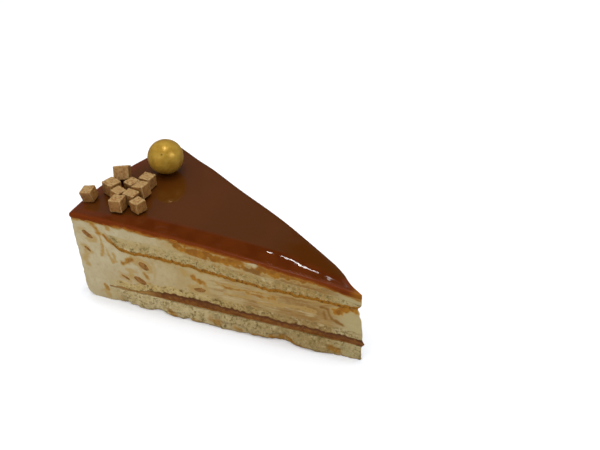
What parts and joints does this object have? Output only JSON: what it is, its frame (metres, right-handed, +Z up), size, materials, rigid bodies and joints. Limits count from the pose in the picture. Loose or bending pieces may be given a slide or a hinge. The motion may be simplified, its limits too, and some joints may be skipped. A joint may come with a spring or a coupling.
{
  "type": "bavarois cake slice",
  "caption": "Wedge-shaped slice of caramel bavarois cake with layered sponge, caramel filling and cream, under a glossy caramel glaze with a gold ball and fudge cubes.",
  "frame": {"origin": "centre of the slice's bounding box, on the surface that it stands on", "axes": "+X along the slice to its tip, +Z up, so the rim lies along -X"},
  "size_m": [0.1212, 0.063, 0.0565],
  "materials": {
    "sponge": "pale open-crumbed sponge cake",
    "soaked_sponge": "sponge cake, its underside soaked brown with caramel",
    "caramel": "dark caramel filling, moist",
    "cream": "set bavarois cream with caramel streaks and toffee bits",
    "glaze": "mirror-smooth caramel glaze",
    "gold_coating": "pearly gold coating",
    "fudge": "fudge with a dry, sugary surface"
  },
  "bodies": {
    "root": {"base_sponge": "sponge", "caramel_filling": "caramel", "thin_sponge": "sponge", "bavarois": "cream", "upper_sponge": "soaked_sponge", "glaze": "glaze", "gold_ball": "gold_coating", "fudge_cube_01": "fudge", "fudge_cube_02": "fudge", "fudge_cube_03": "fudge", "fudge_cube_04": "fudge", "fudge_cube_05": "fudge", "fudge_cube_06": "fudge", "fudge_cube_07": "fudge", "fudge_cube_08": "fudge", "fudge_cube_09": "fudge", "fudge_cube_10": "fudge"}
  },
  "joints": []
}
